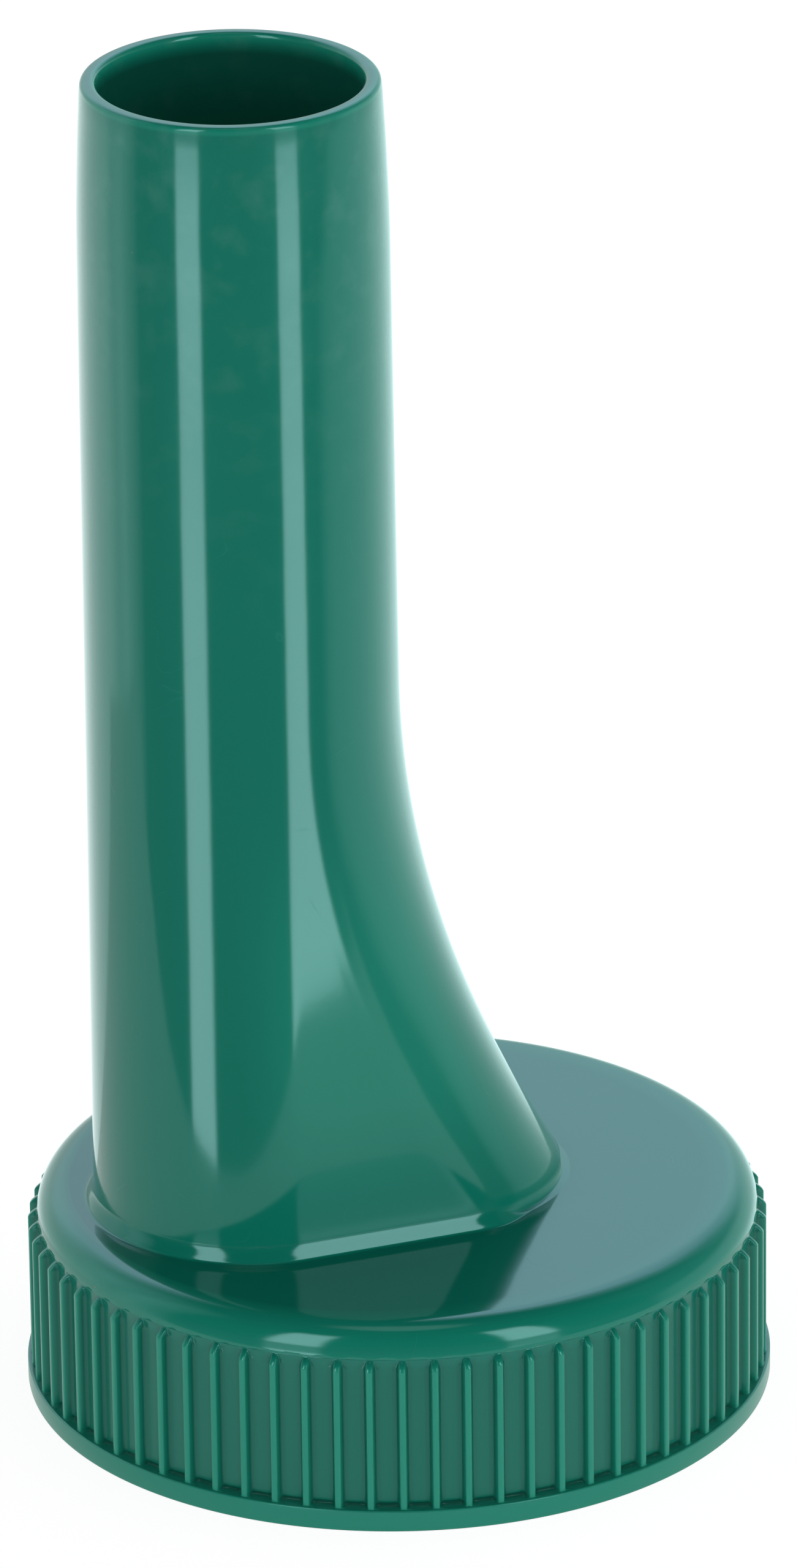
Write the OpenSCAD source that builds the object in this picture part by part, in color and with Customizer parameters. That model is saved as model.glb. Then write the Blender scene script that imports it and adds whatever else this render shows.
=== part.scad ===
// Screw-on pouring spout for a glass oil bottle, in millimetres.
// A ribbed screw cap carries an offset pouring tube. The tube's foot flares towards
// the middle of the cap, so that the bottle's neck drains into it.
// +Z is up and the origin is on the cap's axis, at the rim that it stands on.
// The tube stands upright at -X, and only the thread breaks the symmetry about Y = 0.

/* [Cap] */
// Radius of the flange at the bottom of the skirt
flange_r = 35; // [30:0.5:50]
// Height of the flange
flange_h = 2.1; // [1:0.1:3]
// How far the skirt's wall stands back from the flange's edge
skirt_setback = 1.2; // [0.8:0.1:2]
// Overall height of the cap, up to its top face
cap_h = 19.9; // [18:0.1:26]
// Rounding between the skirt and the top face
shoulder_r = 3; // [1:0.1:4]
// Thickness of the skirt's wall
skirt_wall = 1.8; // [1.2:0.1:2.4]
// Thickness of the top plate
top_wall = 2.2; // [1.4:0.1:3]
// Depth of the groove under the ribs, above the flange
groove_d = 0.25; // [0.1:0.05:0.5]
// Height of that groove
groove_h = 0.5; // [0.3:0.1:1]

/* [Ribs] */
// Number of grip ribs
rib_n = 72; // [36:4:90]
// How far a rib stands out of the skirt's wall
rib_d = 0.85; // [0.5:0.05:1.2]
// Width of a rib at its crest
rib_crest_w = 0.7; // [0.4:0.05:1]
// Width of a rib where it meets the wall
rib_root_w = 1.15; // [0.8:0.05:1.4]
// Height of the ribs' crests above the stand plane
rib_top = 16.5; // [10:0.1:17]
// Height of a rib's slanted end, above its crest
rib_tip = 0.5; // [0.3:0.05:0.9]

/* [Thread] */
// Radial depth of the thread
thread_d = 1.1; // [0.6:0.1:1.5]
// Rise of the thread in one turn
thread_pitch = 4.2; // [3:0.1:5]
// Number of turns
thread_turns = 1.5; // [1:0.25:1.5]
// Height of the thread's first land above the stand plane
thread_start = 4; // [3:0.1:5]
// Axial width of a land at its root
land_root_w = 2.2; // [1.6:0.1:2.6]
// Axial width of a land at its crest
land_crest_w = 1; // [0.6:0.1:1.4]
// Number of lands in one turn
lands_per_turn = 15; // [10:1:20]
// Share of a land's step that the land fills, the rest is the gap
land_fill = 0.9; // [0.8:0.02:0.94]

/* [Washer] */
// Thickness of the sealing washer
washer_t = 2; // [1:0.1:2.5]
// Radial width of the sealing washer
washer_w = 3; // [2:0.1:3.2]
// Clearance between the washer's edge and its seat
washer_clearance = 0.1; // [0.05:0.05:0.2]
// Depth of the step that keeps the washer's seat narrower than the bore
seat_step = 0.4; // [0.2:0.1:0.6]

/* [Spout] */
// Distance from the cap's axis to the tube's axis
spout_offset = 14.1; // [12:0.1:15]
// Overall height of the part, from the rim up to the lip
total_h = 130.2; // [115:1:180]
// Outer radius of the tube at the cap's top face
tube_base_r = 14.75; // [13:0.05:15]
// Outer radius of the tube where its end taper starts
tube_neck_r = 14.15; // [12:0.05:14.5]
// Outer radius of the tube at the lip
lip_r = 13.55; // [11:0.05:14]
// Length of the end taper
taper_len = 15.5; // [8:0.5:20]
// Wall of the foot and of the tube's base
spout_wall = 1.3; // [1:0.05:1.8]
// Wall at the lip
lip_wall = 1.5; // [1.2:0.05:1.6]
// Rounding of the lip's outer edge
lip_outer_round = 0.5; // [0.3:0.05:0.6]
// Rounding of the lip's inner edge
lip_inner_round = 0.5; // [0.1:0.05:0.5]

/* [Foot] */
// Height of the foot above the top face of the cap
foot_rise = 52; // [40:1:66]
// Distance from the tube's axis to the foot's front arc at the top face
foot_reach = 16.8; // [12:0.1:18]
// Radius of the foot's front arc at the top face
foot_nose_r = 13.6; // [8:0.1:14]
// Share of the foot's height over which its front edge bends, above the straight rest
flare_bend = 1; // [0.5:0.02:1]
// Radius of the fillet between the foot and the top face
root_fillet = 1.3; // [0.6:0.1:1.6]

/* [Hidden] */

plastic = "#1F7D67";
rubber = "#3B3D3C";
fine = 96;         // segments of a full circle
eps = 0.01;        // overlap that joins two shapes of one piece

skirt_r = flange_r - skirt_setback;
bore_r = skirt_r - skirt_wall;
seat_r = bore_r - seat_step;
ceiling = cap_h - top_wall;
seat_bottom = ceiling - washer_t;
rib_r = skirt_r + rib_d;

thread_r = bore_r - thread_d;
land_step = 360 / lands_per_turn;
land_n = round(thread_turns * lands_per_turn);

washer_r = seat_r - washer_clearance;

taper_z = total_h - taper_len;
foot_top = cap_h + foot_rise;
lip_bore_r = lip_r - lip_wall;

spout_sides = 64;  // points around one section of the spout
foot_rings = 20;   // sections from the fillet to the foot's top
fillet_rings = 5;  // sections in the root fillet
lip_rings = 4;     // sections in each rounding of the lip

// Outer radius of the tube at a height, which falls evenly up to the end taper.
function tube_r(z) =
    tube_base_r + (tube_neck_r - tube_base_r) * (z - cap_h) / (taper_z - cap_h);

// Share of the full flare at a height: 0 at the foot's top and 1 at the top face. It
// follows a parabola down to the end of the bend, then a straight line tangent to it.
function flare(z) =
    let (t = max(0, (foot_top - z) / foot_rise), b = flare_bend)
        (t < b ? t * t : b * (2 * t - b)) / (b * (2 - b));

// Distance from the tube's axis to the centre of the front arc, and its radius.
function reach(z) = foot_reach * flare(z);
function nose_r(z) = tube_r(z) + (foot_nose_r - tube_r(cap_h)) * flare(z);

// Point of the foot's section whose outward normal has the given angle. The section
// is the hull of the tube's circle and the front arc, each grown by the offset g.
function section_point(a, z, g) =
    let (
        front = reach(z) * cos(a) + nose_r(z) > tube_r(z),
        r = (front ? nose_r(z) : tube_r(z)) + g,
        x = -spout_offset + (front ? reach(z) : 0)
    ) [x + r * cos(a), r * sin(a), z];

// One section of the foot's wall, with its points spread evenly over the normal's angle.
function foot_ring(z, g, top) =
    [for (i = [0 : spout_sides - 1])
        let (p = section_point(i * 360 / spout_sides, z, g)) [p[0], p[1], top]];

// One round section of the tube.
function tube_ring(r, z) =
    [for (i = [0 : spout_sides - 1])
        let (a = i * 360 / spout_sides) [-spout_offset + r * cos(a), r * sin(a), z]];

// The root fillet: a quarter circle from the top face up to the wall.
root_skin = [for (i = [0 : fillet_rings - 1])
    let (b = 90 * i / fillet_rings, z = cap_h + root_fillet * (1 - cos(b)))
        foot_ring(z, root_fillet * (1 - sin(b)), z)];
outer_skin = [for (i = [0 : foot_rings])
    let (z = cap_h + root_fillet + (foot_rise - root_fillet) * i / foot_rings)
        foot_ring(z, 0, z)];
lip_skin = concat(
    [tube_ring(tube_neck_r, taper_z)],
    [for (i = [0 : lip_rings])
        let (b = 90 * i / lip_rings)
            tube_ring(lip_r - lip_outer_round * (1 - cos(b)),
                      total_h - lip_outer_round * (1 - sin(b)))],
    [for (i = [0 : lip_rings])
        let (b = 90 * i / lip_rings)
            tube_ring(lip_bore_r + lip_inner_round * (1 - sin(b)),
                      total_h - lip_inner_round * (1 - cos(b)))]
);
inner_skin = [for (i = [foot_rings : -1 : 0])
    let (z = cap_h + foot_rise * i / foot_rings) foot_ring(z, -spout_wall, z)];

// Closed skin through rings that follow each other all the way round the wall.
module ring_skin(rings) {
    n = spout_sides;
    m = len(rings);
    polyhedron(
        points = [for (r = rings) for (p = r) p],
        faces = [for (j = [0 : m - 1]) for (i = [0 : n - 1])
            let (i2 = (i + 1) % n, j2 = (j + 1) % m)
                each [[j * n + i, j2 * n + i, j * n + i2],
                      [j * n + i2, j2 * n + i, j2 * n + i2]]]
    );
}

// Outline of the passage at the top face: the foot's section inside its wall.
module passage_outline() {
    r0 = tube_r(cap_h) - spout_wall;
    r1 = foot_nose_r - spout_wall;
    a = acos((r0 - r1) / foot_reach);
    translate([-spout_offset, 0]) {
        circle(r = r0, $fn = fine);
        translate([foot_reach, 0]) circle(r = r1, $fn = fine);
        polygon([[r0 * cos(a), r0 * sin(a)], [foot_reach + r1 * cos(a), r1 * sin(a)],
                 [foot_reach + r1 * cos(a), -r1 * sin(a)], [r0 * cos(a), -r0 * sin(a)]]);
    }
}

// Half section of the cap, without its ribs and thread.
module cap_profile() {
    difference() {
        union() {
            square([flange_r, flange_h]);
            square([skirt_r, cap_h - shoulder_r]);
            square([skirt_r - shoulder_r, cap_h]);
            translate([skirt_r - shoulder_r, cap_h - shoulder_r])
                circle(r = shoulder_r, $fn = fine);
        }
        translate([skirt_r - groove_d, flange_h]) square([rib_d, groove_h]);
        translate([0, -eps]) square([bore_r, seat_bottom + eps]);
        square([seat_r, ceiling]);
    }
}

// Plan of all the ribs, from inside the skirt's wall out to their crests.
module rib_plan() {
    for (i = [0 : rib_n - 1])
        rotate(i * 360 / rib_n)
            polygon([[skirt_r - skirt_wall / 2, -rib_root_w / 2], [skirt_r, -rib_root_w / 2],
                     [rib_r, -rib_crest_w / 2], [rib_r, rib_crest_w / 2],
                     [skirt_r, rib_root_w / 2], [skirt_r - skirt_wall / 2, rib_root_w / 2]]);
}

module ribs() {
    intersection() {
        translate([0, 0, flange_h + groove_h]) linear_extrude(rib_top) rib_plan();
        cylinder(h = rib_top, r = rib_r + eps, $fn = fine);
    }
    intersection() {
        translate([0, 0, rib_top - eps]) linear_extrude(rib_tip) rib_plan();
        translate([0, 0, rib_top - eps])
            cylinder(h = rib_tip, r1 = rib_r, r2 = skirt_r, $fn = fine);
    }
}

// One land of the interrupted thread, whose crest is a strip of a cylinder.
module land(k) {
    rotate(k * land_step)
        translate([0, 0, thread_start + thread_pitch * k / lands_per_turn])
            rotate_extrude(angle = land_step * land_fill, $fn = fine)
                polygon([[thread_r, -land_crest_w / 2], [bore_r + skirt_wall / 4, -land_root_w / 2],
                         [bore_r + skirt_wall / 4, land_root_w / 2], [thread_r, land_crest_w / 2]]);
}

module screw_cap() {
    color(plastic) {
        difference() {
            rotate_extrude($fn = fine) cap_profile();
            translate([0, 0, ceiling - eps]) linear_extrude(top_wall + 2 * eps) passage_outline();
        }
        ribs();
        for (k = [0 : land_n - 1]) land(k);
    }
}

module pouring_spout() {
    color(plastic) ring_skin(concat(root_skin, outer_skin, lip_skin, inner_skin));
}

module sealing_washer() {
    color(rubber)
        translate([0, 0, seat_bottom]) difference() {
            cylinder(h = washer_t, r = washer_r, $fn = fine);
            translate([0, 0, -eps]) cylinder(h = washer_t + 2 * eps, r = washer_r - washer_w, $fn = fine);
        }
}

screw_cap();
pouring_spout();
sealing_washer();
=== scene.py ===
"""Looks of a moulded screw-on pouring spout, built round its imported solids.

Lengths in the classes are millimetres and angles are degrees, unless a comment says so.
Meshes are written in metres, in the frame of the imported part.
"""

import logging
import math
from dataclasses import dataclass
from enum import Enum
from functools import partial

import bpy
import numpy as np
from mathutils import Matrix, Vector


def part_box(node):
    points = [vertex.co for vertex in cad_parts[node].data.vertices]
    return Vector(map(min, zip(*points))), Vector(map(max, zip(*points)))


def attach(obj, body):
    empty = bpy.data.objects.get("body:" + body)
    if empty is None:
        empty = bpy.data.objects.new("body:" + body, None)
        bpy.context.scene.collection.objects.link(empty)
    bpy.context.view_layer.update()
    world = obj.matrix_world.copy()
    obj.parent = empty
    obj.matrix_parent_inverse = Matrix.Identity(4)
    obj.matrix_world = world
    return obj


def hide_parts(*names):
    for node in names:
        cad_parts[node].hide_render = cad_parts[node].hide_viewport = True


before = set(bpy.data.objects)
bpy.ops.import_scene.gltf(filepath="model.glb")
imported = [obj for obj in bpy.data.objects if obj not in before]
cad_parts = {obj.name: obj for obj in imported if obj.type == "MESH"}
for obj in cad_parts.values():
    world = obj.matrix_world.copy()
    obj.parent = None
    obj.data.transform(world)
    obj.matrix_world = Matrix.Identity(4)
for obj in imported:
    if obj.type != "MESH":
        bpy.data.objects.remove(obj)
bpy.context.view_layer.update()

log = logging.getLogger("pouring_spout")
MM = 0.001  # metres in a millimetre
TAU = 2.0 * math.pi
TINY = 1e-9  # keeps a division from meeting zero

Span = tuple[float, float]  # the values at which something starts and ends
Rings = np.ndarray  # points of a grid as rows, columns and XYZ, in millimetres
Colour = tuple[float, float, float]  # linear red, green and blue
Feed = bpy.types.Node | bpy.types.NodeSocket | float | tuple[float, ...]  # of a node's input
Stops = tuple[tuple[float, float | Colour], ...]  # places, and a grey level or colour at each


class Slot(Enum):
    """Material slots of the record, for the moulding and the washer. Nothing here uses them."""

    MOULDING = "moulding"
    WASHER = "washer"


class Closing(Enum):
    """How the rows of a grid end: open, or with the last row joined to the first."""

    OPEN = 0
    LOOP = 1


class Region(Enum):
    """Stretches of the moulding's skin, in the order in which they follow each other."""

    SHOULDER = 0
    PLATE = 1
    OUTSIDE = 2
    LIP = 3
    PASSAGE = 4
    CEILING = 5
    BORE = 6


# ---------------- small helpers


def linear(colour: str) -> tuple[float, float, float, float]:
    """Turns an sRGB hex colour into linear RGBA.

    Args:
        colour: Six hex digits with a leading hash.

    Returns:
        Linear red, green, blue and an alpha of 1.
    """
    parts = [int(colour[i : i + 2], 16) / 255.0 for i in (1, 3, 5)]
    value = [c / 12.92 if c <= 0.04045 else ((c + 0.055) / 1.055) ** 2.4 for c in parts]
    return (*value, 1.0)


def smooth(x: np.ndarray, low: float, high: float) -> np.ndarray:
    """Smooth step from 0 at low to 1 at high: 3t^2 - 2t^3 of the clamped share t."""
    t = np.clip((x - low) / (high - low), 0.0, 1.0)
    return t * t * (3.0 - 2.0 * t)


def patch(x: np.ndarray, rise: Span, fall: Span) -> np.ndarray:
    """Share that rises from 0 to 1 over one range and falls back to 0 over another."""
    return smooth(x, *rise) - smooth(x, *fall)


def arc(first: float, last: float, steps: int) -> np.ndarray:
    """Evenly spaced angles in radians between two angles in degrees, ends included."""
    return np.radians(np.linspace(first, last, steps + 1))


def empty_tree(owner: bpy.types.Material | bpy.types.World) -> bpy.types.NodeTree:
    """Turns on a material's or a world's nodes and clears them.

    Args:
        owner: The material or world.

    Returns:
        Its node tree, empty.
    """
    owner.use_nodes = True
    owner.node_tree.nodes.clear()
    return owner.node_tree


def add_node(
    tree: bpy.types.NodeTree,
    kind: str,
    inputs: dict[str | int, Feed] | tuple[Feed, ...] = (),
    stops: Stops = (),
    **settings: str,
) -> bpy.types.Node:
    """Adds one shader node with its settings and links.

    Args:
        tree: Node tree that takes the node.
        kind: Blender's type name of the node, without its ShaderNode prefix.
        inputs: What feeds each input, by its name or number, or in order from the
            first: an output socket, a node, which stands for its first output, or a
            constant.
        stops: Stops of a colour ramp, with places from 0 to 1 in rising order.
        **settings: Properties of the node itself.

    Returns:
        The new node.
    """
    node = tree.nodes.new("ShaderNode" + kind)
    for key, value in settings.items():
        setattr(node, key, value)
    given = inputs if isinstance(inputs, dict) else dict(enumerate(inputs))
    for key, value in given.items():
        if isinstance(value, bpy.types.Node):
            value = value.outputs[0]
        if isinstance(value, bpy.types.NodeSocket):
            tree.links.new(value, node.inputs[key])
        else:
            node.inputs[key].default_value = value
    for number, (place, tone) in enumerate(stops):
        ramp = node.color_ramp.elements
        stop = ramp[number] if number < len(ramp) else ramp.new(1.0)
        stop.position = place
        stop.color = (*(tone if isinstance(tone, tuple) else (tone,) * 3), 1.0)
    return node


# ---------------- skins


class Skin:
    """A surface gathered from grids of points, each ring closed round its columns."""

    def __init__(self) -> None:
        """Starts with no points and no faces."""
        self.points: list[np.ndarray] = []
        self.painted_glow: list[np.ndarray] = []
        self.painted_shade: list[np.ndarray] = []
        self.faces: list[np.ndarray] = []

    def add(
        self,
        rings: Rings,
        painted_glow: np.ndarray | float = 0.0,
        painted_shade: np.ndarray | float = 0.0,
        closing: Closing = Closing.OPEN,
    ) -> np.ndarray:
        """Adds a grid of rings and the quads between them.

        A quad runs from column i to i + 1 of one ring and back along the next ring, so
        faces point to the right of the way from the first ring to the last.

        Args:
            rings: The rings.
            painted_glow: Share of a lighter colour painted in as glow, at each
            point, 0 to 1.
            painted_shade: Share of a darker colour painted in as shade, at each
            point, 0 to 1.
            closing: Whether the last ring joins the first.

        Returns:
            Point numbers as rows and columns.
        """
        rows, columns = rings.shape[:2]
        index = np.arange(rows * columns).reshape(rows, columns) + sum(map(len, self.points))
        self.points.append(rings.reshape(-1, 3))
        self.painted_glow.append(np.broadcast_to(painted_glow, (rows, columns)).reshape(-1))
        self.painted_shade.append(np.broadcast_to(painted_shade, (rows, columns)).reshape(-1))
        lower = index if closing is Closing.LOOP else index[:-1]
        upper = np.roll(index, -1, axis=0) if closing is Closing.LOOP else index[1:]
        self.quads(lower, upper)
        return index

    def quads(self, lower: np.ndarray, upper: np.ndarray) -> None:
        """Adds the quads between rings of equal length.

        Args:
            lower: Point numbers of the rings that come first along the skin.
            upper: Point numbers of the rings that follow them.
        """
        right = np.roll(lower, -1, axis=-1)
        above = np.roll(upper, -1, axis=-1)
        self.faces.append(np.stack([lower, right, above, upper], -1).reshape(-1, 4))

    def stitch(self, lower: np.ndarray, upper: np.ndarray) -> None:
        """Joins two rings whose lengths differ by a whole factor with fans of triangles.

        Each point of the coarse ring takes the fine edges nearest to it, and one
        triangle closes the coarse edge.

        Args:
            lower: Point numbers of the ring that comes first along the skin.
            upper: Point numbers of the ring that follows it.
        """
        fine_above = len(upper) > len(lower)
        coarse, fine = (lower, upper) if fine_above else (upper, lower)
        factor = len(fine) // len(coarse)
        after = np.roll(coarse, -1)
        start = fine.reshape(len(coarse), factor)
        end = np.roll(fine, -1).reshape(len(coarse), factor)
        half = factor // 2
        owner = np.where(np.arange(factor) < half, coarse[:, None], after[:, None])
        fans = np.stack([owner, end, start] if fine_above else [owner, start, end], -1)
        middle = start[:, half]
        caps = np.stack([coarse, after, middle] if fine_above else [coarse, middle, after], -1)
        self.faces += [fans.reshape(-1, 3), caps]

    def build(self, name: str, finish: bpy.types.Material) -> bpy.types.Object:
        """Makes the mesh object, in metres, smooth shaded, with its two attributes.

        Args:
            name: Name of the new object.
            finish: Its material.

        Returns:
            The object, at the origin, with its place in its mesh.
        """
        mesh = bpy.data.meshes.new(name)
        points = np.concatenate(self.points) * MM
        faces = [f for block in self.faces for f in block.tolist()]
        mesh.from_pydata(points.tolist(), [], faces)
        mesh.polygons.foreach_set("use_smooth", np.ones(len(faces), dtype=bool))
        # The two attributes: shares of painted glow and of painted shade.
        for key, parts in (("painted_glow", self.painted_glow), ("painted_shade", self.painted_shade)):
            if parts:
                layer = mesh.attributes.new(key, "FLOAT", "POINT")
                layer.data.foreach_set("value", np.concatenate(parts).astype(np.float32))
        mesh.materials.append(finish)
        mesh.update()
        made = bpy.data.objects.new(name, mesh)
        bpy.context.collection.objects.link(made)
        return made


def bend(r: float, z: float, radius: float, first: float, last: float, steps: int) -> np.ndarray:
    """Rows of radius and height along an arc round (r, z), from angle first to last."""
    turn = arc(first, last, steps)
    return np.stack([r + radius * np.cos(turn), z + radius * np.sin(turn)], -1)


def polar(r: np.ndarray, angle: np.ndarray, z: np.ndarray) -> Rings:
    """Points (r cos angle, r sin angle, z), with the arrays stretched to one shape."""
    return np.stack(np.broadcast_arrays(r * np.cos(angle), r * np.sin(angle), z), -1)


def circle_rings(profile: np.ndarray, columns: int) -> Rings:
    """Rings round the cap's axis through a profile's rows of radius and height."""
    angle = np.arange(columns) * TAU / columns
    return polar(profile[:, :1], angle, profile[:, 1:])


def between(first: np.ndarray, last: np.ndarray, rows: int) -> Rings:
    """Rings that lead straight from one ring to another, both left out."""
    share = (np.arange(1, rows + 1) / (rows + 1))[:, None, None]
    return first[None] * (1.0 - share) + last[None] * share


# ---------------- finishes


@dataclass(frozen=True)
class GlossPolypropylene:
    """Polypropylene, injection moulded against a polished steel mould.

    It is a deep blue-green with a clear, slightly wavy gloss. A brighter, more
    yellow-green colour is painted in as glow where the skin asks for it, and a darker
    colour is painted in as shade. Handling leaves hairline scratches and a broad haze
    under the sharp gloss, most of it near the lip, and dirt specks cling to it. The
    ribbed part comes from a spark-eroded part of the mould and is satin.
    """

    body_colour: str = "#0A6958"
    painted_glow_colour: str = "#22977D"
    painted_shade_colour: str = "#0A4236"
    smear_colour: str = "#5F8F86"
    speck_colour: str = "#6E6A4A"
    ior: float = 1.5
    gloss: float = 0.085
    haze: float = 0.32
    # The gloss looks cool: it has less red than the light.
    gloss_tint: tuple[float, float, float, float] = (0.62, 1.0, 1.0, 1.0)
    # Waves that the flow left, and the skin's fine grain, drawn coarse enough to show.
    wave_mm: float = 9.0
    wave_depth_mm: float = 0.06
    wave_strength: float = 0.35
    grain_mm: float = 0.5
    grain_depth_mm: float = 0.008
    grain_strength: float = 0.1
    # Haze: everywhere, in handled patches, along hairlines and on the satin ribs. An
    # edge is the range of the noise over which the mark sets in or ends.
    least_haze: float = 0.03
    patch_mm: float = 16.0
    patch_edge: Span = (0.42, 0.66)
    patch_haze: float = 0.36
    hairline_mm: float = 11.0
    hairline_edge: Span = (0.0015, 0.003)
    break_mm: float = 6.6
    break_edge: Span = (0.62, 0.66)
    hairline_haze: float = 0.25
    satin_to_mm: float = 15.6
    satin_fade_mm: float = 1.0
    satin_haze: float = 0.75
    # Patches and smears set in at one height and are at their full strength at another.
    handled_from_mm: float = 80.0
    handled_to_mm: float = 125.0
    smear_mm: float = 2.88
    smear_edge: Span = (0.5, 0.75)
    smear_share: float = 0.16
    # A speck lies in each cell of this size whose random number is above a limit.
    speck_mm: float = 3.2
    speck_above: float = 0.93
    speck_edge: Span = (0.025, 0.04)
    speck_share: float = 0.8

    def material(self) -> bpy.types.Material:
        """Builds the material, with flow waves, haze, hairlines and dirt specks.

        Returns:
            The new material.
        """
        made = bpy.data.materials.new("polypropylene_gloss_moulded")
        add = partial(add_node, empty_tree(made))
        coords = add("TexCoord").outputs["Object"]
        # Shares of a painted glow, a lighter colour standing in for light, and of a painted shade.
        painted_glow = add("Attribute", attribute_name="painted_glow").outputs["Fac"]
        painted_shade = add("Attribute", attribute_name="painted_shade").outputs["Fac"]
        height = add("SeparateXYZ", (coords,)).outputs["Z"]
        sizes = {
            "wave": (self.wave_mm, 1.0),
            "grain": (self.grain_mm, 3.0),
            "patch": (self.patch_mm, 4.0),
            "smear": (self.smear_mm, 5.0),
            "hairline": (self.hairline_mm, 2.0),
            "break": (self.break_mm, 1.0),
        }
        noise = {
            name: add("TexNoise", {"Vector": coords, "Scale": 1.0 / (size * MM), "Detail": detail})
            for name, (size, detail) in sizes.items()
        }

        # How hazy the gloss is. A MapRange node takes a value, the range that it is in
        # and the range that it goes to.
        held = (self.handled_from_mm * MM, self.handled_to_mm * MM)
        handled = add("MapRange", (height, *held, 0.0, 1.0))
        patch = add("MapRange", (noise["patch"], *self.patch_edge, 0.0, self.patch_haze))
        hazy = add("Math", (patch, handled, self.least_haze), operation="MULTIPLY_ADD")
        contour = add("Math", (noise["hairline"], 0.5), operation="SUBTRACT")
        contour = add("Math", (contour,), operation="ABSOLUTE")
        line = add("MapRange", (contour, *self.hairline_edge, 1.0, 0.0))
        broken = add("MapRange", (noise["break"], *self.break_edge, 0.0, 1.0))
        line = add("Math", (line, broken), operation="MULTIPLY")
        line = add("Math", (line, self.hairline_haze), operation="MULTIPLY")
        hazy = add("Math", (hazy, line), operation="MAXIMUM")
        fade = (self.satin_to_mm * MM, (self.satin_to_mm + self.satin_fade_mm) * MM)
        satin = add("MapRange", (height, *fade, self.satin_haze, 0.0))
        hazy = add("Math", (hazy, satin), operation="MAXIMUM")

        # Colours, each laid over the one before it: painted glow, painted shade, smears
        # and dirt specks.
        smear = add("MapRange", (noise["smear"], *self.smear_edge, 0.0, self.smear_share))
        bare = add("Math", (1.0, painted_shade), operation="SUBTRACT")
        bare = add("Math", (bare, handled), operation="MULTIPLY")
        smear = add("Math", (smear, bare), operation="MULTIPLY")
        cells = add("TexVoronoi", {"Vector": coords, "Scale": 1.0 / (self.speck_mm * MM)})
        chosen = add("SeparateXYZ", (cells.outputs["Color"],))
        chosen = add("Math", (chosen, self.speck_above), operation="GREATER_THAN")
        spot = add("MapRange", (cells, *self.speck_edge, self.speck_share, 0.0))
        speck = add("Math", (chosen, spot), operation="MULTIPLY")
        colour = linear(self.body_colour)
        for share, over in (
            (painted_glow, self.painted_glow_colour),
            (painted_shade, self.painted_shade_colour),
            (smear, self.smear_colour),
            (speck, self.speck_colour),
        ):
            mixed = {0: share, 6: colour, 7: linear(over)}
            colour = add("Mix", mixed, data_type="RGBA").outputs[2]

        # Relief, under two lobes of gloss: one sharp, one hazy.
        wave = {
            "Height": noise["wave"],
            "Strength": self.wave_strength,
            "Distance": self.wave_depth_mm * MM,
        }
        grain = {
            "Height": noise["grain"],
            "Strength": self.grain_strength,
            "Distance": self.grain_depth_mm * MM,
            "Normal": add("Bump", wave),
        }
        surface = {
            "Base Color": colour,
            "IOR": self.ior,
            "Specular Tint": self.gloss_tint,
            "Normal": add("Bump", grain),
        }
        lobes = [
            add("BsdfPrincipled", {**surface, "Roughness": rough})
            for rough in (self.gloss, self.haze)
        ]
        add("OutputMaterial", {"Surface": add("MixShader", (hazy, *lobes))})
        return made


@dataclass(frozen=True)
class NitrileRubber:
    """Nitrile rubber, cut from moulded sheet: matt, dark grey, with a fine grain."""

    colour: str = "#3B3D3C"
    worn_colour: str = "#474948"
    roughness: float = 0.75
    grain_mm: float = 0.35
    grain_depth_mm: float = 0.05
    grain_strength: float = 0.5

    def material(self) -> bpy.types.Material:
        """Builds the material, with its grain as bump and a faint mottling.

        Returns:
            The new material.
        """
        made = bpy.data.materials.new("nitrile_rubber_sheet")
        add = partial(add_node, empty_tree(made))
        coords = add("TexCoord").outputs["Object"]
        scale = 1.0 / (self.grain_mm * MM)
        grain = add("TexNoise", {"Vector": coords, "Scale": scale, "Detail": 3.0})
        tones = {0: grain, 6: linear(self.colour), 7: linear(self.worn_colour)}
        relief = {
            "Height": grain,
            "Strength": self.grain_strength,
            "Distance": self.grain_depth_mm * MM,
        }
        surface = {
            "Base Color": add("Mix", tones, data_type="RGBA").outputs[2],
            "Roughness": self.roughness,
            "Normal": add("Bump", relief),
        }
        add("OutputMaterial", {"Surface": add("BsdfPrincipled", surface)})
        return made


@dataclass(frozen=True)
class SeamlessPaper:
    """Matt white paper: an even tone that keeps a soft shadow."""

    albedo: float = 0.85
    seen_albedo: float = 0.30
    seen_glow: float = 0.88
    gloss_glow: float = 0.6

    def material(self) -> bpy.types.Material:
        """Builds the paper, which the camera and the gloss see lifted to white.

        Returns:
            The new material.
        """
        made = bpy.data.materials.new("seamless_paper")
        add = partial(add_node, empty_tree(made))
        path = add("LightPath")
        seen = path.outputs["Is Camera Ray"]
        in_gloss = path.outputs["Is Glossy Ray"]
        papers = [
            add("BsdfDiffuse", {"Color": (tone, tone, tone, 1.0)})
            for tone in (self.albedo, self.seen_albedo)
        ]
        lift = add("Math", (in_gloss, self.gloss_glow), operation="MULTIPLY")
        lift = add("Math", (seen, self.seen_glow, lift), operation="MULTIPLY_ADD")
        glow = add("Emission", {"Strength": lift})
        mixed = add("AddShader", (add("MixShader", (seen, *papers)), glow))
        add("OutputMaterial", {"Surface": mixed})
        return made


# ---------------- the moulding


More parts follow.
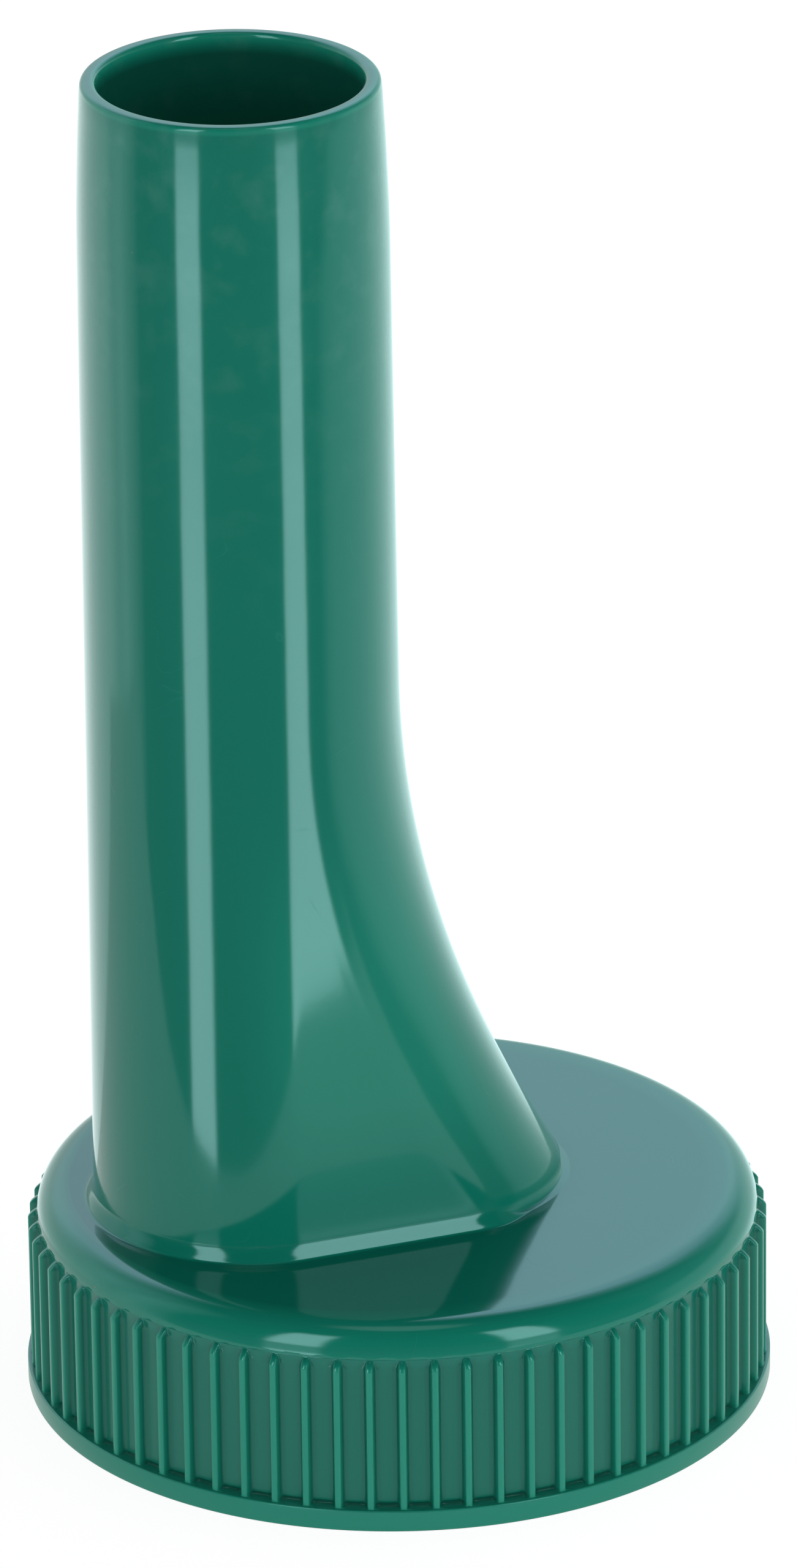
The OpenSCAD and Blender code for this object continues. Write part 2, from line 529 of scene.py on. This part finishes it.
@dataclass
class Spout:
    """The pouring tube and its flared foot, with the passage through them."""

    top_face: float
    lip_height: float
    offset: float = 14.1
    base_r: float = 14.75
    neck_r: float = 14.15
    lip_r: float = 13.55
    taper: float = 15.5
    taper_power: float = 1.6
    wall: float = 1.3
    lip_wall: float = 1.5
    lip_round: float = 0.5
    foot_rise: float = 52.0
    reach: float = 16.8
    nose_r: float = 13.6
    mouth_round: float = 0.5
    # The root's chamfer: its size on the flanks and at the nose, its width and profile
    # from the cap's face upwards and where the wall starts, as shares of that size.
    fillet: float = 1.3
    nose_fillet: float = 0.14
    fillet_width: float = 0.62
    fillet_out: tuple[float, ...] = (1.5, 1.2, 1.02, 0.92, 0.84, 0.76, 0.55, 0.28, 0.1, 0.03)
    fillet_up: tuple[float, ...] = (0.0, 0.0, 0.02, 0.05, 0.12, 0.22, 0.43, 0.67, 0.87, 1.0)
    walls_from: float = 1.15
    # The wall's swell over the chamfer, and where round the outline the nose's small
    # chamfer and the swell end, as shares of the way round from the nose.
    root_swell: float = 0.2
    swell_h: float = 3.6
    nose_end: Span = (0.135, 0.185)
    swell_end: Span = (0.3, 0.36)
    even_share: float = 0.5
    # Rings up the foot, the tube and its taper, and down the bore and inside the foot.
    outer_rows: tuple[int, int, int] = (44, 12, 10)
    inner_rows: tuple[int, int] = (12, 30)
    columns: int = 288

    @property
    def foot_top(self) -> float:
        """Height at which the foot ends and the plain tube begins."""
        return self.top_face + self.foot_rise

    @property
    def place(self) -> np.ndarray:
        """Share of the way round at which each column stands, from the nose on."""
        return np.arange(self.columns)[None] / self.columns

    @property
    def from_nose(self) -> np.ndarray:
        """Share of the way round from the nose to each column, by the shorter way."""
        return np.minimum(self.place, 1.0 - self.place)

    def tube_radius(self, z: np.ndarray | float) -> np.ndarray:
        """Outer radius: a straight draft, then a taper that steepens as a power curve.

        Args:
            z: Heights, in any shape.

        Returns:
            The tube's radius at each height.
        """
        start = self.lip_height - self.taper
        draft = (np.minimum(z, start) - self.top_face) / (start - self.top_face)
        share = np.clip((z - start) / self.taper, 0.0, 1.0)
        straight = self.base_r + (self.neck_r - self.base_r) * draft
        return straight + (self.lip_r - self.neck_r) * share**self.taper_power

    def flare(self, z: np.ndarray) -> np.ndarray:
        """Share of the full flare: a parabola in height, from none at the foot's top."""
        return np.clip((self.foot_top - z) / self.foot_rise, 0.0, None) ** 2

    def outline(self, z: np.ndarray, grow: np.ndarray | float) -> Rings:
        """Rings of the foot: the outline round the tube's circle and the front arc.

        The outline is two arcs joined by their common tangents. Points are spread by a
        blend of the normal's angle and the length along the outline, so that the flat
        flanks get points as well as the arcs.

        Args:
            z: Height of each ring.
            grow: Distance outside the wall, of all points, each ring or each point.

        Returns:
            The rings.
        """
        z = np.asarray(z, float)[:, None]
        grow = np.asarray(grow, float)
        grow = grow.reshape(-1, 1) if grow.ndim < 2 else grow
        flare = self.flare(z)
        reach = self.reach * flare
        tube = self.tube_radius(z)
        nose = tube + (self.nose_r - self.base_r) * flare
        tangent = math.acos((self.base_r - self.nose_r) / self.reach)
        flank = reach * math.sin(tangent)
        length = 2.0 * flank + 2.0 * tangent * nose + (TAU - 2.0 * tangent) * tube
        even = self.even_share
        front = (1.0 - even) * tangent / TAU + even * tangent * nose / length
        side = even * flank / length + TINY
        back = 0.5 - front - side
        half = self.from_nose
        along = np.clip((half - front) / side, 0.0, 1.0)
        behind = np.clip((half - front - side) / back, 0.0, 1.0)
        angle = np.where(
            half < front, tangent * half / front, tangent + (math.pi - tangent) * behind
        )
        angle = np.where(self.place > 0.5, -angle, angle)
        rings = polar(nose + (tube - nose) * along + grow, angle, z)
        rings[..., 0] += reach * (1.0 - along) - self.offset
        return rings

    def swell(self, above: np.ndarray) -> np.ndarray:
        """How far the wall swells out at heights over the cap's face: a falling parabola."""
        flank = patch(self.from_nose, self.nose_end, self.swell_end)
        return self.root_swell * flank * np.clip(1.0 - above / self.swell_h, 0.0, None) ** 2

    def outer(self) -> Rings:
        """Rings from the edge of the root up to the outside of the lip.

        The root is a steep narrow chamfer with rounded edges, smaller at the nose. The
        wall above it swells out a little towards the chamfer, except at the nose.

        Returns:
            The rings.
        """
        out = np.array(self.fillet_out)[:, None]
        climb = np.array(self.fillet_up)[:, None]
        grown = smooth(self.from_nose, *self.nose_end)
        size = self.nose_fillet + (self.fillet - self.nose_fillet) * grown
        above = climb * size
        fillet = self.outline(
            self.top_face + self.fillet * climb[:, 0],
            self.fillet_width * size * out + self.swell(above),
        )
        fillet[..., 2] = self.top_face + above
        start = self.top_face + self.walls_from * self.fillet
        edge = self.lip_height - self.lip_round
        ends = (start, self.foot_top, self.lip_height - self.taper, edge)
        walls = [
            np.linspace(low, high, rows)[:-1]
            for low, high, rows in zip(ends, ends[1:], self.outer_rows)
        ]
        walls = np.concatenate([*walls, [edge - 0.5 * self.lip_round]])
        return np.concatenate(
            [fillet, self.outline(walls, self.swell(walls[:, None] - self.top_face))]
        )

    def lip(self) -> Rings:
        """Rings over the lip: a quarter circle outside, a flat, a quarter circle inside.

        Returns:
            The rings.
        """
        edge, top = self.lip_round, self.lip_height
        outer_r = self.lip_r - edge
        inner_r = self.lip_r - self.lip_wall + edge
        profile = [
            bend(outer_r, top - edge, edge, 0.0, 90.0, 7),
            [[0.5 * (outer_r + inner_r), top]],
            bend(inner_r, top - edge, edge, 90.0, 180.0, 7),
        ]
        rings = circle_rings(np.vstack(profile), self.columns)
        rings[..., 0] -= self.offset
        return rings

    def inner(self, plate: float) -> Rings:
        """Rings down the bore and the foot's inside, and through the plate.

        Args:
            plate: Thickness of the cap's plate.

        Returns:
            The rings.
        """
        bore_rows, foot_rows = self.inner_rows
        start = self.lip_height - 4.0 * self.lip_round
        bore_z = np.linspace(start, self.foot_top, bore_rows)
        lip_bore = self.lip_r - self.lip_wall
        foot_bore = self.tube_radius(self.foot_top) - self.wall
        share = (self.lip_height - bore_z) / (self.lip_height - self.foot_top)
        bore_r = lip_bore + (foot_bore - lip_bore) * share
        tube = circle_rings(np.stack([bore_r, bore_z], -1), self.columns)
        tube[..., 0] -= self.offset
        wall_z = np.linspace(self.foot_top, self.top_face, foot_rows)[1:]
        walls = self.outline(wall_z, -self.wall)
        turn = arc(0.0, 90.0, 4)
        floor = np.array([self.top_face])
        opening = self.outline(floor, -self.wall)
        outward = self.outline(floor, 1.0 - self.wall) - opening
        widening = self.mouth_round * (1.0 - np.cos(turn))
        mouth = opening + outward * widening[:, None, None]
        low = self.top_face - plate
        mouth[..., 2] = (low + self.mouth_round * (1.0 - np.sin(turn)))[:, None]
        return np.concatenate([tube, walls, mouth])


@dataclass
class Cap:
    """The ribbed screw cap: flange, grip ribs, shoulder, plate and plain bore."""

    height: float
    flange_r: float
    flange_h: float = 2.1
    flange_low_round: float = 0.22
    flange_top_round: float = 0.16
    setback: float = 1.2
    shoulder: float = 3.0
    wall: float = 1.8
    plate: float = 2.2
    groove_d: float = 0.15
    groove_h: float = 0.35
    groove_edge: Span = (-0.1, 0.03)
    seat_step: float = 0.4
    washer_t: float = 2.0
    corner_round: float = 0.25
    mouth_round: float = 0.45
    ribs: int = 72
    rib_d: float = 0.85
    rib_top: float = 16.0
    rib_tip: float = 0.85
    tip_power: float = 1.5
    rib_turn: float = -0.44
    # Half of a rib's section, from its middle out: how far across in millimetres, how
    # high as a share of its depth, and how much shade is painted there.
    rib_across: tuple[float, ...] = (0.0, 0.19, 0.27, 0.32, 0.40, 0.49, 0.68, 1.0)
    rib_rise: tuple[float, ...] = (1.0, 1.0, 0.95, 0.80, 0.33, 0.10, 0.01, 0.0)
    rib_shade: tuple[float, ...] = (0.0, 0.0, 0.0, 0.05, 0.4, 0.6, 0.3, 0.0)
    # Where the skirt has rings: heights over the flange's top, the groove's top, the end
    # of the straight ribs and the end of their tips, and shares of the tips' length.
    flange_steps: tuple[float, ...] = (0.0, 0.05)
    groove_steps: tuple[float, ...] = (-0.12, -0.06, 0.0, 0.05, 0.2)
    crest_steps: tuple[float, ...] = (-0.25, -0.1, -0.03, 0.03)
    end_steps: tuple[float, ...] = (0.04, 0.1)
    tip_steps: tuple[float, ...] = (0.12, 0.25, 0.4, 0.55, 0.7, 0.84, 0.94, 1.0)
    # The crests' painted glow follows this power of the rib's height; shade is painted along the
    # ribs' roots and in the groove with these strengths.
    crest_glow_power: float = 1.5
    root_shade: float = 0.6
    groove_shade: float = 0.8
    columns: int = 288

    @property
    def skirt_r(self) -> float:
        """Radius of the skirt between its ribs."""
        return self.flange_r - self.setback

    @property
    def bore_r(self) -> float:
        """Radius of the plain bore inside the skirt."""
        return self.skirt_r - self.wall

    def flange(self) -> Rings:
        """Rings from the middle of the rim out round the flange and in over its top.

        Returns:
            The rings.
        """
        low, high = self.flange_low_round, self.flange_top_round
        profile = [
            [[self.bore_r + self.mouth_round + 0.1, 0.0], [self.skirt_r, 0.0]],
            bend(self.flange_r - low, low, low, -90.0, 0.0, 4),
            bend(self.flange_r - high, self.flange_h - high, high, 0.0, 90.0, 4),
            [[self.skirt_r + self.rib_d + 0.06, self.flange_h]],
        ]
        return circle_rings(np.vstack(profile), self.columns)

    def rib_section(self) -> tuple[np.ndarray, np.ndarray, np.ndarray]:
        """One rib's plan: angle of each column from the rib's middle, and its height.

        The height is a flat crest, a rounded corner, a steep flank and a root fillet.
        Shade is painted along the flank's foot.

        Returns:
            Angles in radians over one step, from the middle on, heights, and the share
            of painted shade.
        """
        gap = TAU * self.skirt_r / self.ribs / 2.0
        across = np.array(self.rib_across)
        rise = self.rib_d * np.array(self.rib_rise)
        shade_share = np.array(self.rib_shade)
        angle = np.concatenate([across, [gap], 2.0 * gap - across[:0:-1]]) / self.skirt_r
        return angle, *(np.concatenate([v, [0.0], v[:0:-1]]) for v in (rise, shade_share))

    def skirt(self) -> tuple[Rings, np.ndarray, np.ndarray]:
        """Rings of the ribbed skirt, from the flange's top to the shoulder's start.

        The radius is the skirt's own, plus the rib's section, which sinks into the
        skirt over the rib's end and so narrows to a point, less a groove that runs
        above the flange from rib to rib.

        Returns:
            The rings, and two shares at each point: how much glow is painted on the rib,
            and how much shade is painted along its roots and in the groove.
        """
        foot = self.flange_h + self.groove_h
        tip = self.rib_top + self.rib_tip
        z = np.concatenate(
            [
                self.flange_h + np.array(self.flange_steps),
                foot + np.array(self.groove_steps),
                [0.5 * (foot + self.rib_top)],
                self.rib_top + np.array(self.crest_steps),
                self.rib_top + self.rib_tip * np.array(self.tip_steps),
                tip + np.array(self.end_steps),
            ]
        )
        groove = (1.0 - smooth(z, *(foot + end for end in self.groove_edge)))[:, None]
        sink = np.clip(z - (self.height - self.shoulder), 0.0, None)
        base = self.skirt_r - self.shoulder + np.sqrt(self.shoulder**2 - sink**2)
        past = np.clip((z - self.rib_top) / self.rib_tip, 0.0, 1.0)
        crest = self.rib_d * (1.0 - past**self.tip_power)
        step, height, shade_share = self.rib_section()
        angle = (np.arange(self.ribs)[:, None] * TAU / self.ribs + step[None]).reshape(-1)
        angle = angle + math.radians(self.rib_turn)
        section = np.tile(height, self.ribs)
        stand = np.clip(section[None] - (self.rib_d - crest)[:, None], 0.0, None)
        hollow = groove * (1.0 - stand / self.rib_d)
        radius = base[:, None] + stand - self.groove_d * hollow
        # Shade painted along the ribs' roots and, stronger, in the groove between them.
        valley_shade = np.tile(shade_share, self.ribs)[None] * (crest / self.rib_d)[:, None]
        valley_shade = np.maximum(self.groove_shade * hollow, self.root_shade * valley_shade)
        return polar(radius, angle, z[:, None]), (stand / self.rib_d) ** self.crest_glow_power, valley_shade

    def shoulder_rings(self) -> Rings:
        """Rings of the shoulder's quarter circle, from above the ribs to the plate."""
        centre = (self.skirt_r - self.shoulder, self.height - self.shoulder)
        return circle_rings(bend(*centre, self.shoulder, 1.0, 90.0, 18), self.columns)

    def inside(self) -> Rings:
        """Rings from the ceiling's corner down the washer's seat and bore to the rim.

        Returns:
            The rings.
        """
        ceiling = self.height - self.plate
        seat_z = ceiling - self.washer_t
        seat = self.bore_r - self.seat_step
        corner, mouth = self.corner_round, self.mouth_round
        profile = [
            bend(seat - corner, ceiling - corner, corner, 90.0, 0.0, 4),
            [[seat, seat_z + 0.04], [seat, seat_z], [self.bore_r - 0.03, seat_z]],
            [[self.bore_r, seat_z - drop] for drop in (0.03, 0.2)],
            [[self.bore_r, z] for z in np.linspace(seat_z - 2.0, mouth + 0.5, 6)],
            bend(self.bore_r + mouth, mouth, mouth, 180.0, 270.0, 4),
        ]
        return circle_rings(np.vstack(profile), self.columns)


@dataclass
class Moulding:
    """The one green moulding: cap and spout in a single closed skin.

    The glows are shares of a lighter colour painted in as glow: at the flange's edge,
    the ribs' crests, the shoulder, the lip, a patch of the foot's flanks and deep in
    the bore. Shade is painted as a darker colour in the bore below the lip. Depths are
    measured down from the lip.
    """

    cap: Cap
    spout: Spout
    edge_glow: float = 0.3
    rib_glow: float = 0.5
    shoulder_glow: float = 0.2
    lip_glow: float = 0.28
    flank_glow: float = 0.2
    flank_round: tuple[Span, Span] = ((0.08, 0.14), (0.24, 0.32))
    flank_depth: tuple[Span, Span] = ((62.0, 86.0), (94.0, 108.0))
    passage_depth: Span = (3.0, 12.0)
    # Shade painted as a darker colour in the bore, fading out below the lip.
    bore_shade: float = 0.85
    bore_shade_depth: Span = (1.5, 9.5)

    def dressing(self, region: Region, rings: Rings) -> tuple[np.ndarray, np.ndarray]:
        """Painted glow and painted shade of one stretch of the skin.

        Args:
            region: Which stretch it is.
            rings: Its rings.

        Returns:
            The share of painted glow and the share of painted shade, each as
            rows and columns.
        """
        depth = self.spout.lip_height - rings[:, :1, 2]
        glow = bore_shade = np.zeros_like(depth)
        if region is Region.SHOULDER:
            glow = glow + self.shoulder_glow
        elif region is Region.OUTSIDE:
            flank = patch(self.spout.from_nose, *self.flank_round)
            glow = self.flank_glow * flank * patch(depth, *self.flank_depth)
        elif region is Region.LIP:
            glow = glow + self.lip_glow
        elif region is Region.PASSAGE:
            # Glow painted deep in the bore, and shade painted below the lip.
            glow = smooth(depth, *self.passage_depth)
            bore_shade = self.bore_shade * (1.0 - smooth(depth, *self.bore_shade_depth))
        return tuple(np.broadcast_to(share, rings.shape[:2]) for share in (glow, bore_shade))

    def build(self, finish: bpy.types.Material) -> bpy.types.Object:
        """Builds the skin and dresses it.

        The skin starts under the rim and goes out round the flange, up the skirt, in
        over the plate, up the spout, over its lip, down through it and back down the
        inside of the cap.

        Args:
            finish: Material of the whole moulding.

        Returns:
            The finished piece.
        """
        skin = Skin()
        flange = self.cap.flange()
        # Glow painted on the flange's edge and the ribs' crests, and shade along the ribs' roots.
        edge_glow = np.zeros(flange.shape[:2])
        edge_glow[2:] = self.edge_glow
        low = skin.add(flange, edge_glow)
        rings, crests, valley_shade = self.cap.skirt()
        skirt = skin.add(rings, self.rib_glow * crests, valley_shade)
        skin.stitch(low[-1], skirt[0])
        shoulder = self.cap.shoulder_rings()
        outer = self.spout.outer()
        inner = self.spout.inner(self.cap.plate)
        inside = self.cap.inside()
        stretches = {
            Region.SHOULDER: shoulder,
            Region.PLATE: between(shoulder[-1], outer[0], 6),
            Region.OUTSIDE: outer,
            Region.LIP: self.spout.lip(),
            Region.PASSAGE: inner,
            Region.CEILING: between(inner[-1], inside[0], 6),
            Region.BORE: inside,
        }
        dressed = [self.dressing(region, rows) for region, rows in stretches.items()]
        glow, bore_shade = (np.concatenate(shares) for shares in zip(*dressed))
        upper = skin.add(np.concatenate(list(stretches.values())), glow, bore_shade)
        skin.stitch(skirt[-1], upper[0])
        skin.quads(upper[-1], low[0])
        made = skin.build("pourer_moulding", finish)
        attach(made, "root")
        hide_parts("screw_cap", "pouring_spout")
        return made


@dataclass
class Thread:
    """The cap's inside thread: separate lands along one right-hand helix."""

    bore_r: float
    depth: float = 1.1
    pitch: float = 4.2
    turns: float = 1.5
    start: float = 4.0
    root_w: float = 2.2
    crest_w: float = 1.0
    crest_round: float = 0.12
    sunk: float = 0.3
    per_turn: int = 15
    fill: float = 0.9
    ease: float = 0.04
    steps: int = 14

    def section(self) -> tuple[np.ndarray, np.ndarray]:
        """A land's section: a trapezoid with rounded crest, its root sunk in the wall.

        Returns:
            Radius and height of each of its points, from the bottom up.
        """
        root = self.bore_r + self.sunk
        crest = self.bore_r - self.depth
        soft = self.crest_round
        half_c, half_r = self.crest_w / 2.0, self.root_w / 2.0
        radii = np.array([root, crest + soft, crest, crest, crest + soft, root])
        upper = np.array([half_c - soft, half_c + 0.05, half_r])
        return radii, np.concatenate([-upper[::-1], upper])

    def build(self, finish: bpy.types.Material) -> bpy.types.Object:
        """Sweeps the land's trapezoid along the helix and dresses the lands.

        A point of the sweep lies at the helix angle t, at height start + pitch t / 360
        plus the section's own height, and the section sinks into the wall at each end.

        Args:
            finish: Material of the moulding.

        Returns:
            The finished lands, as one object.
        """
        run = np.linspace(0.0, self.fill, self.steps)
        rising = smooth(run, -self.ease, 1.5 * self.ease)
        falling = smooth(run, self.fill - 1.5 * self.ease, self.fill + self.ease)
        ease = np.minimum(rising, 1.0 - falling)[:, None]
        section_r, section_z = self.section()
        root = section_r[0]
        skin = Skin()
        for number in range(round(self.turns * self.per_turn)):
            angle = ((number + run) * TAU / self.per_turn)[:, None]
            radius = root + (section_r[None] - root) * ease
            height = self.start + self.pitch * angle / TAU + section_z[None]
            index = skin.add(polar(radius, angle, height))
            skin.faces += [index[:1], index[-1:, ::-1]]
        made = skin.build("thread_lands", finish)
        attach(made, "root")
        return made


@dataclass
class Washer:
    """The sealing washer under the cap's plate."""

    outer_r: float
    bottom: float
    top: float
    width: float = 3.0
    edge: float = 0.18
    columns: int = 180

    def build(self, finish: bpy.types.Material) -> bpy.types.Object:
        """Turns the washer's rounded rectangle round the axis and dresses it.

        Args:
            finish: Material of the washer.

        Returns:
            The finished piece.
        """
        edge = self.edge
        outer, inner = self.outer_r - edge, self.outer_r - self.width + edge
        low, high = self.bottom + edge, self.top - edge
        middle = 0.5 * (outer + inner)
        profile = [
            [[middle, self.bottom]],
            bend(outer, low, edge, -90.0, 0.0, 3),
            bend(outer, high, edge, 0.0, 90.0, 3),
            [[middle, self.top]],
            bend(inner, high, edge, 90.0, 180.0, 3),
            bend(inner, low, edge, 180.0, 270.0, 3),
        ]
        skin = Skin()
        skin.add(circle_rings(np.vstack(profile), self.columns), closing=Closing.LOOP)
        made = skin.build("sealing_ring", finish)
        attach(made, "root")
        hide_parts("sealing_washer")
        return made


# ---------------- studio


@dataclass(frozen=True)
class Screen:
    """One light or wall that stands in the room round the part.

    Its colour is a ramp over the turn, times a ramp over the rise, times a tint. A turn
    is counted in degrees to the right from the side where the camera stands, and a rise
    in degrees above the horizon.
    """

    turns: Stops
    rises: Stops
    tint: Colour = (1.0, 1.0, 1.0)

    def add_to(self, tree: bpy.types.NodeTree, turn: Feed, rise: Feed) -> bpy.types.Node:
        """Adds the screen's nodes to the world's.

        Args:
            tree: The world's node tree.
            turn: Turn of the ray, from 0 at the far left to 1 at the far right.
            rise: Rise of the ray, from 0 straight down to 1 straight up.

        Returns:
            The node whose first output is the screen's colour.
        """
        ramps = (
            add_node(tree, "ValToRGB", (share,), tuple((d / span + 0.5, tone) for d, tone in stops))
            for share, span, stops in ((turn, 360.0, self.turns), (rise, 180.0, self.rises))
        )
        both = add_node(tree, "VectorMath", tuple(ramps), operation="MULTIPLY")
        return add_node(tree, "VectorMath", (both, self.tint), operation="MULTIPLY")


@dataclass
class Studio:
    """Floor, soft studio light and camera."""

    table_front: float = 84.0
    table_turn: float = 11.5
    table_left: float = 200.0
    table_back: float = 15.0
    table_corners: tuple[tuple[float, float], ...] = (
        (45.0, -118.0), (97.0, -125.0), (105.0, -98.0), (112.0, -8.0),
    )
    floor_r: float = 4000.0
    floor_hole: float = 0.05
    floor_drop: float = 0.02
    azimuth: float = 15.883
    elevation: float = 23.216
    roll: float = 0.766
    distance: float = 942.318
    height: float = 463.719
    sideways: float = 0.661
    lens: float = 254.954
    sensor: float = 36.0
    # Light on the part, soft and mostly from near the horizon.
    room: Screen = Screen(
        turns=((-180, 0.7), (-90, 0.62), (0, 0.8), (90, 1.0), (150, 0.9)),
        rises=((0, 1.0), (12, 1.0), (20, 0.12), (60, 0.03), (90, 0.03)),
        tint=(4.6, 4.6, 4.6),
    )
    # What the gloss shows: two tall softboxes, walls at the sides and behind, ceiling.
    softboxes: Screen = Screen(
        turns=(
            (-42.5, 0.0), (-40.5, 1.0), (-25, 1.0), (-23, 0.0),
            (32.5, 0.0), (34.5, 1.0), (49, 1.0), (51, 0.0),
        ),
        rises=(
            (-60, 0.0), (-55, 1.0), (-15, 1.0), (-9, 0.25),
            (9, 0.25), (15, 1.0), (48, 1.0), (56, 0.0),
        ),
        tint=(4.9, 5.2, 5.4),
    )
    wall_level: float = 2.4
    side_rises: Stops = (
        (-60, 1.0), (-18, 1.0), (-8, 0.78), (28, (0.9, 0.95, 1.0)), (46, (0.55, 0.58, 0.62)),
        (60, 0.0),
    )
    left_wall: Screen = Screen(
        turns=(
            (-179, 0.45), (-149, 0.58), (-135, 0.54), (-118, 0.55), (-108, 0.6),
            (-99, 0.46), (-91, 0.6), (-84, 0.42), (-77, 0.2), (-73, 0.0),
        ),
        rises=side_rises,
        tint=(0.88, 1.0, 1.0),
    )
    right_wall: Screen = Screen(
        turns=(
            (62, 0.0), (68, 0.26), (74, 0.38), (93, 0.42), (111, 0.47),
            (128, 0.55), (147, 0.6), (179, 0.45),
        ),
        rises=side_rises,
        tint=(0.72, 1.0, 1.0),
    )
    # The right wall leans: rises at which its lean starts and is full, and that turn.
    lean_rises: Span = (-20.52, -9.0)
    lean: float = -20.88
    # Share that is taken off the right wall over its higher part.
    right_dip: Screen = Screen(
        turns=((62, 1.0), (140, 1.0), (168, 0.0)), rises=((10, 0.0), (20, 0.75), (60, 0.75))
    )
    back_wall: Screen = Screen(
        turns=((-150, 1.0), (-125, 0.0), (125, 0.0), (150, 1.0)),
        rises=(
            (10, 0.0), (24, (0.15, 0.25, 0.33)), (34, (0.26, 0.34, 0.50)),
            (46, (0.55, 0.60, 0.88)), (54, (0.28, 0.28, 0.42)), (63, 0.0),
        ),
    )
    ceiling: Screen = Screen(
        turns=((-180, 1.0), (180, 1.0)),
        rises=((-10, 0.1), (0, 0.04), (12, 0.0), (78, 0.0), (83, 0.4)),
    )

    def floor(self, finish: bpy.types.Material) -> None:
        """Lays the paper: a table top under the part, and the floor past it.

        The part's gloss shows only the table top, whose front edge is near. Past that
        edge the gloss shows the lights, as beside a real table.

        Args:
            finish: Material of the paper.
        """
        turn = math.radians(self.azimuth + self.table_turn)
        out = np.array([-math.sin(turn), -math.cos(turn), 0.0])
        left = np.array([-math.cos(turn), math.sin(turn), 0.0]) * self.table_left
        corners = [(x, y, 0.0) for x, y in self.table_corners]
        edge = np.array([out * self.table_front + left, *corners, left - out * self.table_back])
        table = Skin()
        table.points = [edge]
        table.faces = [np.arange(len(edge))[None]]
        floor = Skin()
        edges = [[r, -self.floor_drop] for r in (self.floor_r, self.floor_hole)]
        floor.add(circle_rings(np.array(edges), 64))
        table.build("paper_table", finish)
        floor_paper = floor.build("paper_floor", finish)
        floor_paper.visible_glossy = False

    def light(self) -> None:
        """Sets up the studio round the part as the world's own light.

        The room lights the part softly from all sides, most of it from near the
        horizon. The gloss shows what stands in the room: two tall softboxes in front,
        left and right of the camera, pale walls at the sides, and a cooler, brighter
        wall behind. The ceiling is dark. The camera itself sees plain white.
        """
        world = bpy.data.worlds.new("studio")
        bpy.context.scene.world = world
        tree = empty_tree(world)
        add = partial(add_node, tree)
        a = math.radians(self.azimuth)
        ray = add("TexCoord").outputs["Generated"]
        right, front = (
            add("VectorMath", (ray, way), operation="DOT_PRODUCT").outputs["Value"]
            for way in ((math.cos(a), -math.sin(a), 0.0), (-math.sin(a), -math.cos(a), 0.0))
        )
        up = add("SeparateXYZ", (ray,)).outputs["Z"]
        turn = add("Math", (right, front), operation="ARCTAN2")
        turn = add("Math", (turn, 1.0 / TAU, 0.5), operation="MULTIPLY_ADD")
        rise = add("Math", (up,), operation="ARCSINE")
        rise = add("Math", (rise, 1.0 / math.pi, 0.5), operation="MULTIPLY_ADD")
        lean_rises = (d / 180.0 + 0.5 for d in self.lean_rises)
        lean = add("MapRange", (rise, *lean_rises, 0.0, self.lean / 360.0))
        leaning = add("Math", (turn, lean), operation="ADD")

        dip = self.right_dip.add_to(tree, turn, rise)
        kept = add("VectorMath", ((1.0, 1.0, 1.0), dip), operation="SUBTRACT")
        right_wall = self.right_wall.add_to(tree, leaning, rise)
        walls = add("VectorMath", (right_wall, kept), operation="MULTIPLY")
        for screen in (self.left_wall, self.back_wall, self.ceiling):
            walls = add("VectorMath", (walls, screen.add_to(tree, turn, rise)), operation="ADD")
        walls = add("VectorMath", (walls, (self.wall_level,) * 3), operation="MULTIPLY")
        boxes = self.softboxes.add_to(tree, turn, rise)
        shown = add("VectorMath", (boxes, walls), operation="ADD")

        path = add("LightPath")
        colour = self.room.add_to(tree, turn, rise)
        for kind, seen in (("Is Glossy Ray", shown), ("Is Camera Ray", (1.0, 1.0, 1.0, 1.0))):
            mixed = {0: path.outputs[kind], 6: colour, 7: seen}
            colour = add("Mix", mixed, data_type="RGBA").outputs[2]
        shader = add("Background", {"Color": colour, "Strength": 1.0})
        add("OutputWorld", {"Surface": shader})

    def camera(self) -> None:
        """Places the camera from its azimuth, height and roll, with a long lens."""
        a, e, r = (math.radians(v) for v in (self.azimuth, self.elevation, self.roll))
        data = bpy.data.cameras.new("camera")
        data.lens = self.lens
        data.sensor_width = self.sensor
        data.clip_start, data.clip_end = 0.05, 20.0
        made = bpy.data.objects.new("camera", data)
        bpy.context.collection.objects.link(made)
        made.matrix_world = (
            Matrix.Rotation(-a, 4, "Z")
            @ Matrix.Translation(Vector((self.sideways, -self.distance, self.height)) * MM)
            @ Matrix.Rotation(math.pi / 2.0 - e, 4, "X")
            @ Matrix.Rotation(-r, 4, "Z")
        )
        bpy.context.scene.camera = made


def main() -> None:
    """Builds the dressed part, the studio and the camera."""
    logging.basicConfig(level=logging.INFO, format="%(name)s: %(message)s")
    bpy.context.scene.view_settings.view_transform = "Standard"
    plastic = GlossPolypropylene().material()
    cap_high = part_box("screw_cap")[1]
    spout_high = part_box("pouring_spout")[1]
    washer_low, washer_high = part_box("sealing_washer")
    cap = Cap(height=cap_high.z / MM, flange_r=cap_high.x / MM)
    spout = Spout(top_face=cap.height, lip_height=spout_high.z / MM)
    washer = Washer(
        outer_r=washer_high.x / MM, bottom=washer_low.z / MM, top=washer_high.z / MM
    )
    pieces = (
        Moulding(cap, spout).build(plastic),
        Thread(bore_r=cap.bore_r).build(plastic),
        washer.build(NitrileRubber().material()),
    )
    for piece in pieces:
        log.info("%s: %d faces", piece.name, len(piece.data.polygons))
    studio = Studio()
    studio.floor(SeamlessPaper().material())
    studio.light()
    studio.camera()


if __name__ == "__main__":
    main()
